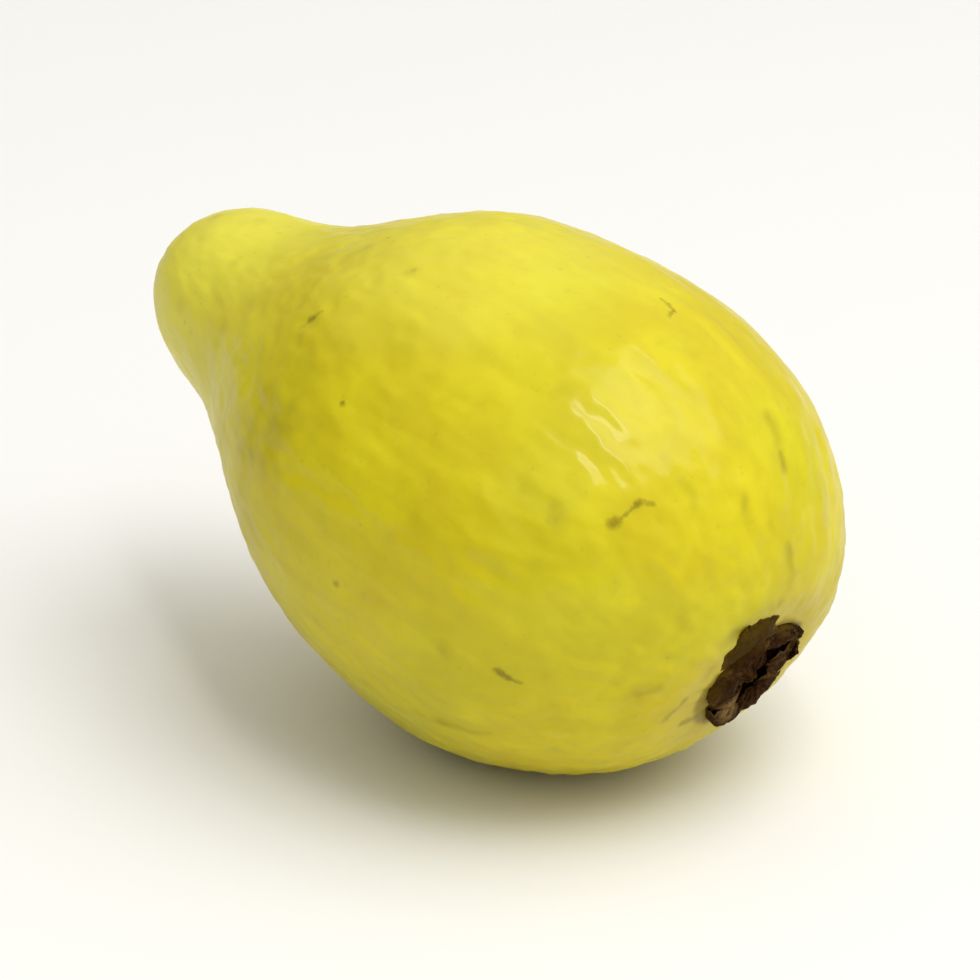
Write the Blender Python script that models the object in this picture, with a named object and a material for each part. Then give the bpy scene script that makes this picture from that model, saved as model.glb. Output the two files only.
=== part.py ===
# A pear-shaped guava lying on its belly: one solid fruit, and the dried crown at its blossom end.
# Metres, +Z up. The long axis lies in the XZ plane, with the crown towards +X and the neck towards -X.
# The belly has a small flat spot at z = 0, on which the fruit rests.

import math

import bmesh
import bpy
import numpy as np

# Fruit: distances along its axis are measured from the widest section of the belly
BELLY_RADIUS = 0.0333
BLOSSOM_SHOULDER_RADIUS = 0.0311
BLOSSOM_TURN_RADIUS = 0.0240
BLOSSOM_REACH = 0.0372
NECK_SHOULDER_RADIUS = 0.0297
NECK_WAIST_RADIUS = 0.0146
NECK_KNOB_RADIUS = 0.0124
NECK_REACH = 0.0638
STEM_DIMPLE_DEPTH = 0.0012

# How the fruit lies: the axis drops towards the crown, and both ends bend a little
AXIS_DROP = math.radians(15.3)
NECK_BEND_UP = -0.0007
NECK_BEND_SIDE = 0.0046
BLOSSOM_BEND_UP = -0.0045
BLOSSOM_BEND_SIDE = -0.0015

# Irregular cross-section of the belly, as shares of the radius
OVAL_SHARE = 0.012
THREE_SIDED_SHARE = 0.014

# Pleats that gather towards the crown
PLEAT_COUNT = 9
PLEAT_DEPTH = 0.00030

# The underside is fuller below the middle of the weight, and is flat at the very bottom
UNDERSIDE_FULLNESS = 0.0032
UNDERSIDE_CENTRE = -0.0010
UNDERSIDE_LENGTH = 0.0155
UNDERSIDE_TURN = math.radians(-6)
UNDERSIDE_WIDTH = math.radians(36)
FLAT_SPOT_DEPTH = 0.0013

# Shallow pocket at the blossom end, which holds the crown with an even gap
POCKET_LIP_RADIUS = 0.0086
POCKET_RADIUS = 0.0083
POCKET_DEPTH = 0.0030
SEAT_GAP = 0.0003

# Crown: heights are measured from the lip of the pocket
CROWN_WALL_RADIUS = 0.0083
CROWN_WALL_THICKNESS = 0.0013
SEPAL_THICKNESS = 0.0009
CROWN_NOTCH_HEIGHT = 0.0003
CROWN_DISC_HEIGHT = -0.0010
STYLE_RADIUS = 0.0010
STYLE_HEIGHT = 0.0003

# Each sepal: direction around the crown, half width, height and how far its tip folds inwards
SEPALS = (
    (math.radians(35), math.radians(42), 0.0014, 0.0026),
    (math.radians(100), math.radians(25), 0.0019, 0.0018),
    (math.radians(145), math.radians(25), 0.0022, 0.0012),
    (math.radians(220), math.radians(43), 0.0013, 0.0034),
    (math.radians(305), math.radians(42), 0.0015, 0.0028),
)

FRUIT_RINGS = 46
FRUIT_SEGMENTS = 72
CROWN_SEGMENTS = 90


def clear_scene():
    for thing in list(bpy.data.objects):
        bpy.data.objects.remove(thing, do_unlink=True)


def make_material(name, colour, roughness):
    material = bpy.data.materials.new(name)
    material.use_nodes = True
    shader = material.node_tree.nodes["Principled BSDF"]
    shader.inputs["Base Color"].default_value = (*colour, 1.0)
    shader.inputs["Roughness"].default_value = roughness
    shader.inputs["Metallic"].default_value = 0.0
    material.diffuse_color = (*colour, 1.0)
    return material


def fade(value, start, end):
    """Rises smoothly from 0 at start to 1 at end."""
    share = np.clip((value - start) / (end - start), 0.0, 1.0)
    return share * share * (3.0 - 2.0 * share)


def smooth_curve(points, count):
    """Cubic spline through the points, which meets the axis at a right angle at its first point."""
    points = np.array(points)
    mirrored = points[:0:-1] * (1.0, -1.0)
    knots = np.vstack([mirrored, points])
    steps = np.linalg.norm(np.diff(knots, axis=0), axis=1)
    along = np.concatenate([[0.0], np.cumsum(steps)])
    total = len(knots)
    matrix = np.eye(total)
    right = np.zeros((total, 2))
    for i in range(1, total - 1):
        before, after = steps[i - 1], steps[i]
        matrix[i, i - 1:i + 2] = before, 2.0 * (before + after), after
        slope_after = (knots[i + 1] - knots[i]) / after
        slope_before = (knots[i] - knots[i - 1]) / before
        right[i] = 6.0 * (slope_after - slope_before)
    bend = np.linalg.solve(matrix, right)
    wanted = np.linspace(along[total // 2], along[-1], count)
    part = np.clip(np.searchsorted(along, wanted, side="right") - 1, 0, total - 2)
    share = ((wanted - along[part]) / steps[part])[:, None]
    rest = 1.0 - share
    scale = (steps[part] ** 2)[:, None] / 6.0
    curve = rest * knots[part] + share * knots[part + 1]
    return curve + scale * ((rest ** 3 - rest) * bend[part] + (share ** 3 - share) * bend[part + 1])


def fruit_profile(count):
    """Distance along the axis and radius, from the stem dimple to the lip of the pocket."""
    knob = -NECK_REACH
    return smooth_curve([
        (knob + STEM_DIMPLE_DEPTH, 0.0),
        (knob, 0.0046),
        (knob + 0.0030, 0.0090),
        (knob + 0.0090, NECK_KNOB_RADIUS),
        (knob + 0.0165, NECK_WAIST_RADIUS),
        (-0.0210, NECK_SHOULDER_RADIUS),
        (0.0, BELLY_RADIUS),
        (0.0190, BLOSSOM_SHOULDER_RADIUS),
        (0.0300, BLOSSOM_TURN_RADIUS),
        (BLOSSOM_REACH - 0.0004, 0.0132),
        (BLOSSOM_REACH, POCKET_LIP_RADIUS),
    ], count)


def spine_frame(along):
    """Centre of the section at this distance, its axis, and its downward and sideways directions."""
    axis = np.array([math.cos(AXIS_DROP), 0.0, -math.sin(AXIS_DROP)])
    upward = np.array([math.sin(AXIS_DROP), 0.0, math.cos(AXIS_DROP)])
    side = np.array([0.0, 1.0, 0.0])
    if along < 0.0:
        reach = NECK_REACH
        bend = NECK_BEND_UP * upward + NECK_BEND_SIDE * side
    else:
        reach = BLOSSOM_REACH
        bend = BLOSSOM_BEND_UP * upward + BLOSSOM_BEND_SIDE * side
    centre = along * axis + (along / reach) ** 2 * bend
    tangent = axis + 2.0 * along / reach ** 2 * bend
    tangent /= np.linalg.norm(tangent)
    down = np.cross(side, tangent)
    down /= np.linalg.norm(down)
    return centre, tangent, down, np.cross(tangent, down)


def fruit_radius(along, radius, angle):
    """Radius in each direction of one section. Angle 0 points down, a quarter turn is +Y."""
    uneven = OVAL_SHARE * np.sin(2.0 * angle) + THREE_SIDED_SHARE * np.sin(3.0 * angle)
    body = fade(along, 0.004 - NECK_REACH, 0.034 - NECK_REACH)
    body *= 1.0 - fade(along, BLOSSOM_REACH - 0.016, BLOSSOM_REACH)
    pleats = PLEAT_DEPTH * np.cos(PLEAT_COUNT * angle + 1.3 * np.sin(2.0 * angle))
    pleats *= fade(along, 0.014, 0.031) * (1.0 - fade(along, 0.033, BLOSSOM_REACH))
    turned = (angle - UNDERSIDE_TURN + math.pi) % (2.0 * math.pi) - math.pi
    full = UNDERSIDE_FULLNESS * np.exp(-(turned / UNDERSIDE_WIDTH) ** 2)
    full *= math.exp(-((along - UNDERSIDE_CENTRE) / UNDERSIDE_LENGTH) ** 2)
    return radius * (1.0 + uneven * body) + pleats + full


def ring_points(along, radius, segments, height=0.0):
    """One section of the fruit, or of the crown when its radius is given for each direction."""
    angle = np.linspace(0.0, 2.0 * math.pi, segments, endpoint=False)
    centre, tangent, down, side = spine_frame(along)
    radius = np.broadcast_to(radius, angle.shape)
    height = np.broadcast_to(height, angle.shape)
    across = np.cos(angle)[:, None] * down + np.sin(angle)[:, None] * side
    return centre + height[:, None] * tangent + radius[:, None] * across


def skin_rings(rings, first_point, last_point):
    """Closed mesh over a row of equal rings, with a fan at each end."""
    mesh = bmesh.new()
    rows = [[mesh.verts.new(point) for point in ring] for ring in rings]
    first = mesh.verts.new(first_point)
    last = mesh.verts.new(last_point)
    for row, following in zip(rows, rows[1:]):
        for i in range(len(row)):
            j = (i + 1) % len(row)
            mesh.faces.new((row[i], row[j], following[j], following[i]))
    for i in range(len(rows[0])):
        j = (i + 1) % len(rows[0])
        mesh.faces.new((first, rows[0][j], rows[0][i]))
        mesh.faces.new((last, rows[-1][i], rows[-1][j]))
    bmesh.ops.recalc_face_normals(mesh, faces=mesh.faces)
    return mesh


def cut_flat_spot(mesh):
    """Cuts the belly level, a little above its lowest point, and moves the cut to z = 0."""
    bottom = min(vertex.co.z for vertex in mesh.verts) + FLAT_SPOT_DEPTH
    everything = mesh.verts[:] + mesh.edges[:] + mesh.faces[:]
    bmesh.ops.bisect_plane(
        mesh,
        geom=everything,
        dist=0.0000001,
        plane_co=(0.0, 0.0, bottom),
        plane_no=(0.0, 0.0, -1.0),
        clear_outer=True,
    )
    rim = [edge for edge in mesh.edges if edge.is_boundary]
    bmesh.ops.contextual_create(mesh, geom=rim)
    bmesh.ops.recalc_face_normals(mesh, faces=mesh.faces)
    return bottom


def make_object(name, mesh, material):
    data = bpy.data.meshes.new(name)
    mesh.to_mesh(data)
    mesh.free()
    for polygon in data.polygons:
        polygon.use_smooth = True
    data.set_sharp_from_angle(angle=math.radians(42))
    data.materials.append(material)
    thing = bpy.data.objects.new(name, data)
    bpy.context.scene.collection.objects.link(thing)
    return thing


def make_fruit():
    angle = np.linspace(0.0, 2.0 * math.pi, FRUIT_SEGMENTS, endpoint=False)
    profile = fruit_profile(FRUIT_RINGS)
    rings = []
    for along, radius in profile[1:]:
        rings.append(ring_points(along, fruit_radius(along, radius, angle), FRUIT_SEGMENTS))
    floor = BLOSSOM_REACH
    rings.append(ring_points(floor, POCKET_RADIUS, FRUIT_SEGMENTS, -0.0004))
    rings.append(ring_points(floor, POCKET_RADIUS, FRUIT_SEGMENTS, -POCKET_DEPTH))
    rings.append(ring_points(floor, POCKET_RADIUS * 0.5, FRUIT_SEGMENTS, -POCKET_DEPTH))
    centre, tangent, _, _ = spine_frame(floor)
    stem_point = spine_frame(profile[0][0])[0]
    mesh = skin_rings(rings, stem_point, centre - POCKET_DEPTH * tangent)
    bottom = cut_flat_spot(mesh)
    skin = make_material("guava_skin", (0.66, 0.57, 0.045), 0.42)
    return make_object("fruit", mesh, skin), bottom


def sepal_shape(angle):
    """Height of the crown's wall and inward fold of its edge, in each direction."""
    height = np.full(angle.shape, CROWN_NOTCH_HEIGHT)
    fold = np.full(angle.shape, 0.0004)
    for direction, half_width, tall, folded in SEPALS:
        offset = (angle - direction + math.pi) % (2.0 * math.pi) - math.pi
        lobe = np.clip(1.0 - np.abs(offset / half_width) ** 2.4, 0.0, 1.0) ** 0.6
        height = np.maximum(height, CROWN_NOTCH_HEIGHT + (tall - CROWN_NOTCH_HEIGHT) * lobe)
        fold = np.maximum(fold, folded * lobe)
    return height, fold


def make_crown():
    angle = np.linspace(0.0, 2.0 * math.pi, CROWN_SEGMENTS, endpoint=False)
    height, fold = sepal_shape(angle)
    wrinkle = 0.00018 * np.sin(11.0 * angle + 0.7) + 0.00012 * np.sin(17.0 * angle)
    seat_radius = POCKET_RADIUS - SEAT_GAP
    seat_height = SEAT_GAP - POCKET_DEPTH
    wall = CROWN_WALL_RADIUS + wrinkle
    inner = wall - CROWN_WALL_THICKNESS
    under = height - SEPAL_THICKNESS
    sections = [
        (seat_radius * 0.5, seat_height),
        (seat_radius - 0.0004, seat_height),
        (seat_radius, seat_height + 0.0004),
        (seat_radius, -0.0004),
        (wall, 0.0002),
        (wall - 0.10 * fold, 0.60 * height + 0.0001),
        (wall - 0.35 * fold, 0.92 * height),
        (wall - 0.70 * fold, height),
        (wall - fold - 0.0005, height - 0.0002),
        (wall - fold - 0.0006, height - 0.0008),
        (inner - 0.55 * fold, under),
        (inner - 0.10 * fold, under - 0.0001),
        (inner - 0.0004, CROWN_DISC_HEIGHT + 0.0001),
        (0.0046, CROWN_DISC_HEIGHT - 0.0002),
        (0.0026, CROWN_DISC_HEIGHT),
        (STYLE_RADIUS, CROWN_DISC_HEIGHT + 0.0003),
        (STYLE_RADIUS * 0.7, STYLE_HEIGHT - 0.0002),
    ]
    rings = [ring_points(BLOSSOM_REACH, radius, CROWN_SEGMENTS, rise) for radius, rise in sections]
    centre, tangent, _, _ = spine_frame(BLOSSOM_REACH)
    mesh = skin_rings(rings, centre + seat_height * tangent, centre + STYLE_HEIGHT * tangent)
    dried = make_material("dried_calyx", (0.055, 0.026, 0.010), 0.78)
    return make_object("calyx", mesh, dried)


def place_on_origin(things, bottom):
    """Puts the flat spot at z = 0 and the middle of the outline, seen from above, at x = y = 0."""
    corners = np.array([vertex.co[:] for thing in things for vertex in thing.data.vertices])
    middle = (corners.min(axis=0) + corners.max(axis=0)) / 2.0
    for thing in things:
        for vertex in thing.data.vertices:
            vertex.co.x -= middle[0]
            vertex.co.y -= middle[1]
            vertex.co.z -= bottom
        thing.data.update()


def main():
    clear_scene()
    fruit, bottom = make_fruit()
    crown = make_crown()
    place_on_origin([fruit, crown], bottom)


main()
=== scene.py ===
import math

import bmesh
import bpy
import numpy as np
from mathutils import Matrix, Vector


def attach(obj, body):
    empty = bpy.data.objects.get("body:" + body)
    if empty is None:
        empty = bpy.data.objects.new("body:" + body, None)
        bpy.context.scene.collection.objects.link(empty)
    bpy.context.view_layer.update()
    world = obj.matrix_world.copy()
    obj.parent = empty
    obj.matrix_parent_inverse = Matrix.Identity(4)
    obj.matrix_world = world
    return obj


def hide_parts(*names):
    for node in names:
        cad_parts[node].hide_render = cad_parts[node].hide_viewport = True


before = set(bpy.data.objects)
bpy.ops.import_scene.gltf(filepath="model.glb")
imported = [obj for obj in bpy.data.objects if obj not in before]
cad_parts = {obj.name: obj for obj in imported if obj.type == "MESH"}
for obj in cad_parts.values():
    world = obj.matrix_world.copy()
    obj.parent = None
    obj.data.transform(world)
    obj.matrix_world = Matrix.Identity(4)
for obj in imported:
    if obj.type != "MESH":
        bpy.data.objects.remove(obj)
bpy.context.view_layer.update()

# A pear-shaped guava lying on its belly. Metres, +Z up, in the row frame.
# The fine skin and the fine crown below have the same form as the solids, with their surface detail.

# Main sizes of the fruit, measured along its axis from the widest section of the belly
BELLY_CENTRE = np.array([0.010925, 0.000487, 0.034699])
BELLY_RADIUS = 0.0333
BLOSSOM_SHOULDER_RADIUS = 0.0311
BLOSSOM_TURN_RADIUS = 0.0240
BLOSSOM_REACH = 0.0372
NECK_SHOULDER_RADIUS = 0.0297
NECK_WAIST_RADIUS = 0.0146
NECK_KNOB_RADIUS = 0.0124
NECK_REACH = 0.0638
STEM_DIMPLE_DEPTH = 0.0012
AXIS_DROP = math.radians(15.3)
NECK_BEND_UP = -0.0007
NECK_BEND_SIDE = 0.0046
BLOSSOM_BEND_UP = -0.0045
BLOSSOM_BEND_SIDE = -0.0015
OVAL_SHARE = 0.012
THREE_SIDED_SHARE = 0.014
UNDERSIDE_FULLNESS = 0.0032
UNDERSIDE_CENTRE = -0.0010
UNDERSIDE_LENGTH = 0.0155
UNDERSIDE_TURN = math.radians(-6)
UNDERSIDE_WIDTH = math.radians(36)
POCKET_LIP_RADIUS = 0.0086

# The photograph's viewing angle in degrees, and its framing
VIEW_AZIMUTH = 38.0
VIEW_ELEVATION = 24.0
VIEW_DISTANCE = 0.600
VIEW_LENS = 172.2
VIEW_RIGHT_OF_BELLY = -0.00565
VIEW_ABOVE_BELLY = 0.00066

MM = 0.001

# Number of rings along each surface, and of points around a ring
SKIN_RINGS = 248
SKIN_SEGMENTS = 350
CROWN_SEGMENTS = 300
SEPAL_RINGS = 70
SEPAL_SEGMENTS = 72

# Distance along the fruit of the bottom of the stem dimple, and depth of the scar in it in mm
STEM_ALONG = STEM_DIMPLE_DEPTH - NECK_REACH
STEM_SCAR_DEPTH = 1.05

# The crown's pocket, down its wall and over its floor: share of the lip's radius, and depth in mm
POCKET_DEPTH = 2.7
POCKET_WALL = (
    (0.985, 0.10), (0.965, 0.32), (0.955, 0.70), (0.950, 1.6), (0.945, 2.6), (0.5, POCKET_DEPTH),
)

# Radius of the crown's rim in mm, and how far, where and how widely it is drawn in
CROWN_RIM = 8.35
DRAWN_IN = 2.10
DRAWN_IN_DIRECTION = math.radians(300.0)
DRAWN_IN_WIDTH = 0.66

# Relief of the skin, as layers of noise: height in mm, size in m and seed
BROAD_SWELLS = ((0.34, 0.024, 1), (0.13, 0.011, 2))
LONG_PEBBLES = ((0.130, 0.0046, 3), (0.165, 0.0023, 4), (0.090, 0.0013, 5))
ROUND_PEBBLES = ((0.075, 0.0019, 8),)

# Number of lengthwise grooves, and of small random flecks
PLEAT_COUNT = 26
FLECK_COUNT = 90

# Colours of the skin, as linear red, green and blue
RIPE_YELLOW = (0.632, 0.540, 0.009)
DEEP_YELLOW = (0.589, 0.484, 0.009)
UNRIPE_GREEN = (0.503, 0.503, 0.011)
DARK_STREAK = (0.489, 0.418, 0.009)
BRIGHT_STREAK = (0.708, 0.627, 0.012)
FINE_MOTTLE = (0.485, 0.408, 0.009)
# Paler neck, and a painted sheen on the top of the shoulder
PALE_NECK_AND_PAINTED_SHEEN = (0.860, 0.800, 0.105)
CROWN_HALO = (0.510, 0.400, 0.062)
# Darker seam at the crown's edge: partly brown stain, partly painted shade
CROWN_SEAM_STAIN_AND_SHADE = (0.150, 0.100, 0.016)
PORE = (0.420, 0.345, 0.012)
# Faint blotches, and one wide blotch of painted shade on the neck's left
FAINT_MARK_AND_SHADE = (0.260, 0.205, 0.008)
CRISP_MARK = (0.150, 0.110, 0.004)
STEM_STAIN = (0.400, 0.330, 0.040)
CORK_DARK = (0.075, 0.042, 0.014)
CORK_LIGHT = (0.260, 0.170, 0.068)
CORK_CENTRE = (0.030, 0.016, 0.006)

# Colours of the dried crown
SEPAL_DARK = (0.016, 0.0044, 0.0007)
SEPAL_BROWN = (0.050, 0.0185, 0.0028)
SEPAL_PATCH = (0.092, 0.045, 0.010)
SEPAL_RIDGE = (0.132, 0.070, 0.019)
SEPAL_OLIVE = (0.078, 0.046, 0.002)
# Colour of one lighter spot on top of an inward sepal
SEPAL_LIGHT_SPOT = (0.210, 0.130, 0.044)

# Floor, and the even light of the studio from the horizon to overhead
FLOOR_HALF_WIDTH = 5.0
FLOOR_HEIGHT = -0.00005
FLOOR_DARKER = (0.828, 0.819, 0.801)
FLOOR_LIGHTER = (0.838, 0.829, 0.812)
WORLD_LOW = 0.35
WORLD_HIGH = 0.87
WORLD_COLOUR = (1.0, 0.985, 0.95)
WORLD_BRIGHT_SIDE = (0.906, 0.423, 0.0)
WORLD_SIDE_SHARE = 0.58

# Lights: name, azimuth and elevation in degrees, distance, width and height in m, and power in W.
# The three key lights overlap, so that their reflection fades towards one side.
LIGHTS = (
    ("key", 102.0, 62.0, 1.30, 1.15, 1.25, 4.7),
    ("key_middle", 92.0, 64.0, 1.30, 0.90, 1.02, 2.3),
    ("key_inner", 82.0, 66.0, 1.30, 0.64, 0.78, 1.6),
    ("window", 55.0, 62.0, 1.30, 0.14, 0.85, 2.0),
    ("pane", 156.0, 66.0, 1.30, 0.30, 0.26, 0.50),
    ("front", 20.0, 40.0, 1.60, 1.20, 0.80, 0.9),
)


def fade(value, start, end):
    """Rises smoothly from 0 at start to 1 at end."""
    share = np.clip((value - start) / (end - start), 0.0, 1.0)
    return share * share * (3.0 - 2.0 * share)


def bell(value, centre, width):
    return np.exp(-((value - centre) / width) ** 2)


def turn_between(angle, centre):
    """Signed angle from centre, between minus and plus half a turn."""
    return (angle - centre + math.pi) % (2.0 * math.pi) - math.pi


def noise(points, size, seed):
    """Smooth random relief between about -1 and 1, with features of the given size."""
    random = np.random.default_rng(seed)
    slopes = random.normal(size=(32, 32, 32, 3))
    slopes /= np.linalg.norm(slopes, axis=3, keepdims=True)
    place = np.asarray(points) / size + random.uniform(0.0, 32.0, 3)
    cell = np.floor(place).astype(int)
    inside = place - cell
    smooth = inside ** 3 * (inside * (inside * 6.0 - 15.0) + 10.0)
    total = np.zeros(place.shape[:-1])
    for corner in np.ndindex(2, 2, 2):
        index = (cell + corner) % 32
        slope = slopes[index[..., 0], index[..., 1], index[..., 2]]
        weight = np.prod(np.where(np.array(corner) == 1, smooth, 1.0 - smooth), axis=-1)
        total += weight * ((inside - corner) * slope).sum(axis=-1)
    return total * 1.6


def smooth_curve(points, count):
    """Cubic spline through the points, which meets the axis at a right angle at its first point."""
    points = np.array(points)
    mirrored = points[:0:-1] * (1.0, -1.0)
    knots = np.vstack([mirrored, points])
    steps = np.linalg.norm(np.diff(knots, axis=0), axis=1)
    along = np.concatenate([[0.0], np.cumsum(steps)])
    total = len(knots)
    matrix = np.eye(total)
    right = np.zeros((total, 2))
    for i in range(1, total - 1):
        before, after = steps[i - 1], steps[i]
        matrix[i, i - 1:i + 2] = before, 2.0 * (before + after), after
        slope_after = (knots[i + 1] - knots[i]) / after
        slope_before = (knots[i] - knots[i - 1]) / before
        right[i] = 6.0 * (slope_after - slope_before)
    bend = np.linalg.solve(matrix, right)
    wanted = np.linspace(along[total // 2], along[-1], count)
    part = np.clip(np.searchsorted(along, wanted, side="right") - 1, 0, total - 2)
    share = ((wanted - along[part]) / steps[part])[:, None]
    rest = 1.0 - share
    scale = (steps[part] ** 2)[:, None] / 6.0
    curve = rest * knots[part] + share * knots[part + 1]
    return curve + scale * ((rest ** 3 - rest) * bend[part] + (share ** 3 - share) * bend[part + 1])


def fruit_profile(count):
    """Distance along the axis and radius, from the stem dimple to the lip of the pocket."""
    knob = -NECK_REACH
    return smooth_curve([
        (knob + STEM_DIMPLE_DEPTH, 0.0),
        (knob, 0.0046),
        (knob + 0.0030, 0.0090),
        (knob + 0.0090, NECK_KNOB_RADIUS),
        (knob + 0.0165, NECK_WAIST_RADIUS),
        (-0.0210, NECK_SHOULDER_RADIUS),
        (0.0, BELLY_RADIUS),
        (0.0190, BLOSSOM_SHOULDER_RADIUS),
        (0.0300, BLOSSOM_TURN_RADIUS),
        (BLOSSOM_REACH - 0.0004, 0.0132),
        (BLOSSOM_REACH, POCKET_LIP_RADIUS),
    ], count)


def spine_frame(along):
    """Centre of the section at this distance, its axis, and its downward and sideways directions."""
    axis = np.array([math.cos(AXIS_DROP), 0.0, -math.sin(AXIS_DROP)])
    upward = np.array([math.sin(AXIS_DROP), 0.0, math.cos(AXIS_DROP)])
    side = np.array([0.0, 1.0, 0.0])
    if along < 0.0:
        reach = NECK_REACH
        bend = NECK_BEND_UP * upward + NECK_BEND_SIDE * side
    else:
        reach = BLOSSOM_REACH
        bend = BLOSSOM_BEND_UP * upward + BLOSSOM_BEND_SIDE * side
    centre = BELLY_CENTRE + along * axis + (along / reach) ** 2 * bend
    tangent = axis + 2.0 * along / reach ** 2 * bend
    tangent /= np.linalg.norm(tangent)
    down = np.cross(side, tangent)
    down /= np.linalg.norm(down)
    return centre, tangent, down, np.cross(tangent, down)


def fruit_radius(along, radius, angle):
    """Radius in each direction of one section. Angle 0 points down, a quarter turn is +Y."""
    uneven = OVAL_SHARE * np.sin(2.0 * angle) + THREE_SIDED_SHARE * np.sin(3.0 * angle)
    body = fade(along, 0.004 - NECK_REACH, 0.034 - NECK_REACH)
    body *= 1.0 - fade(along, BLOSSOM_REACH - 0.016, BLOSSOM_REACH)
    turned = turn_between(angle, UNDERSIDE_TURN)
    full = UNDERSIDE_FULLNESS * bell(turned, 0.0, UNDERSIDE_WIDTH)
    full *= bell(along, UNDERSIDE_CENTRE, UNDERSIDE_LENGTH)
    return radius * (1.0 + uneven * body) + full


def ring_points(along, radius, angle):
    """Points around one section, from their radius and direction."""
    centre, _, down, side = spine_frame(along)
    across = np.cos(angle)[:, None] * down + np.sin(angle)[:, None] * side
    return centre + radius[:, None] * across


def skin_point(along_mm, angle_degrees):
    """Row-frame place of a mark on the skin, from its distance along the fruit and its direction."""
    profile = fruit_profile(400)
    along = along_mm * MM
    radius = np.interp(along, profile[:, 0], profile[:, 1])
    angle = np.array([math.radians(angle_degrees)])
    return ring_points(along, fruit_radius(along, radius, angle), angle)[0]


# Surface relief of the skin

def pleat_relief(along, angle):
    """Shallow grooves that run lengthwise and gather towards the crown."""
    random = np.random.default_rng(11)
    relief = np.zeros(along.shape)
    for i in range(PLEAT_COUNT):
        centre = 2.0 * math.pi * (i + random.uniform(-0.35, 0.35)) / PLEAT_COUNT
        start = random.uniform(0.012, 0.026)
        depth = random.uniform(0.05, 0.20) * MM
        width = random.uniform(0.045, 0.085)
        sway = random.uniform(-0.10, 0.10)
        offset = turn_between(angle, centre + sway * fade(along, start, BLOSSOM_REACH))
        reach = fade(along, start, start + 0.012) * (1.0 - 0.6 * fade(along, 0.034, BLOSSOM_REACH))
        relief -= depth * bell(offset, 0.0, width) * reach
    return relief


# Single grooves: middle along the fruit in mm, direction in degrees, and length, width and depth in mm
GROOVES = (
    (23.6, 172.5, 2.6, 1.5, 0.16),
    (26.6, 173.5, 2.4, 1.3, 0.22),
    (29.8, 174.5, 1.6, 1.0, 0.12),
    (30.4, 194.0, 2.4, 1.3, 0.13),
    (32.2, 187.0, 2.0, 1.6, 0.13),
    (34.0, 181.0, 1.8, 1.8, 0.16),
    (33.2, 205.0, 2.6, 1.8, 0.10),
    (24.0, 206.0, 3.2, 1.6, 0.06),
    (34.6, 268.0, 1.6, 2.6, 0.08),
    (15.0, 299.0, 6.0, 0.9, 0.06),
)


def groove_relief(along, angle, radius):
    """The single grooves of the skin."""
    relief = np.zeros(along.shape)
    for middle, direction, length, width, depth in GROOVES:
        across = turn_between(angle, math.radians(direction)) * radius
        shape = bell(along, middle * MM, length * MM) * bell(across, 0.0, width * MM)
        relief -= depth * MM * shape
    return relief


def layered_noise(points, layers):
    """Sum of layers of noise, each with its height, size and seed."""
    return sum(height * noise(points, size, seed) for height, size, seed in layers)


def wrinkle_relief(along, angle):
    """Fine wrinkles that run into the pocket of the crown."""
    wrinkles = np.stack([np.cos(angle) * 0.010, np.sin(angle) * 0.010, along * 0.25], axis=-1)
    return 0.10 * MM * noise(wrinkles, 0.0014, 6) * fade(along, 0.0345, 0.0370)


def stem_scar_relief(points, along, radius):
    """Raised rim and rough hollow where the stalk has come away."""
    reach = (1.0 - fade(radius, 0.0030, 0.0052)) * (1.0 - fade(along, -0.058, -0.050))
    rim = 0.42 * bell(radius, 0.0027, 0.0007)
    hollow = STEM_SCAR_DEPTH * bell(radius, 0.0, 0.0015)
    return reach * (rim - hollow + 0.26 * noise(points, 0.0011, 7)) * MM


def skin_relief(points, along, angle, radius):
    """Height of the fine surface above the plain form."""
    neck = 1.0 - fade(along, -0.045, -0.020)
    stretched = np.stack([np.cos(angle) * radius, np.sin(angle) * radius, along * 0.36], axis=-1)
    pebbles = layered_noise(stretched, LONG_PEBBLES) + layered_noise(points, ROUND_PEBBLES)
    relief = (layered_noise(points, BROAD_SWELLS) + pebbles * (1.0 - 0.35 * neck)) * MM
    relief += pleat_relief(along, angle) + groove_relief(along, angle, radius)
    return relief + wrinkle_relief(along, angle) + stem_scar_relief(points, along, radius)


def grid_normals(points):
    """Direction square to the surface at each point of a tube of rings."""
    around = np.roll(points, -1, axis=1) - np.roll(points, 1, axis=1)
    lengthwise = np.gradient(points, axis=0)
    normals = np.cross(lengthwise, around)
    size = np.linalg.norm(normals, axis=2, keepdims=True)
    return normals / np.maximum(size, 1e-12)


def grid_faces(rows, columns):
    """Quads between neighbouring rings of one closed tube, as vertex numbers."""
    row = np.arange(rows - 1)[:, None] * columns
    column = np.arange(columns)[None, :]
    following = (column + 1) % columns
    quads = [row + column, row + following, row + columns + following, row + columns + column]
    return np.stack(quads, axis=-1).reshape(-1, 4)


def fan_faces(centre, ring_start, columns, flip):
    """Triangles between one point and a ring, as vertex numbers."""
    column = np.arange(columns)
    following = (column + 1) % columns
    first, second = (following, column) if flip else (column, following)
    return np.stack([np.full(columns, centre), first + ring_start, second + ring_start], axis=-1)


def tube_faces(rows, columns):
    """Faces of a tube of equal rings, with a fan over each end. The two end points come last."""
    faces = list(grid_faces(rows, columns))
    faces += list(fan_faces(rows * columns, 0, columns, True))
    faces += list(fan_faces(rows * columns + 1, (rows - 1) * columns, columns, False))
    return faces


def face_outwards(data):
    mesh = bmesh.new()
    mesh.from_mesh(data)
    bmesh.ops.recalc_face_normals(mesh, faces=mesh.faces)
    mesh.to_mesh(data)
    mesh.free()


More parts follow.
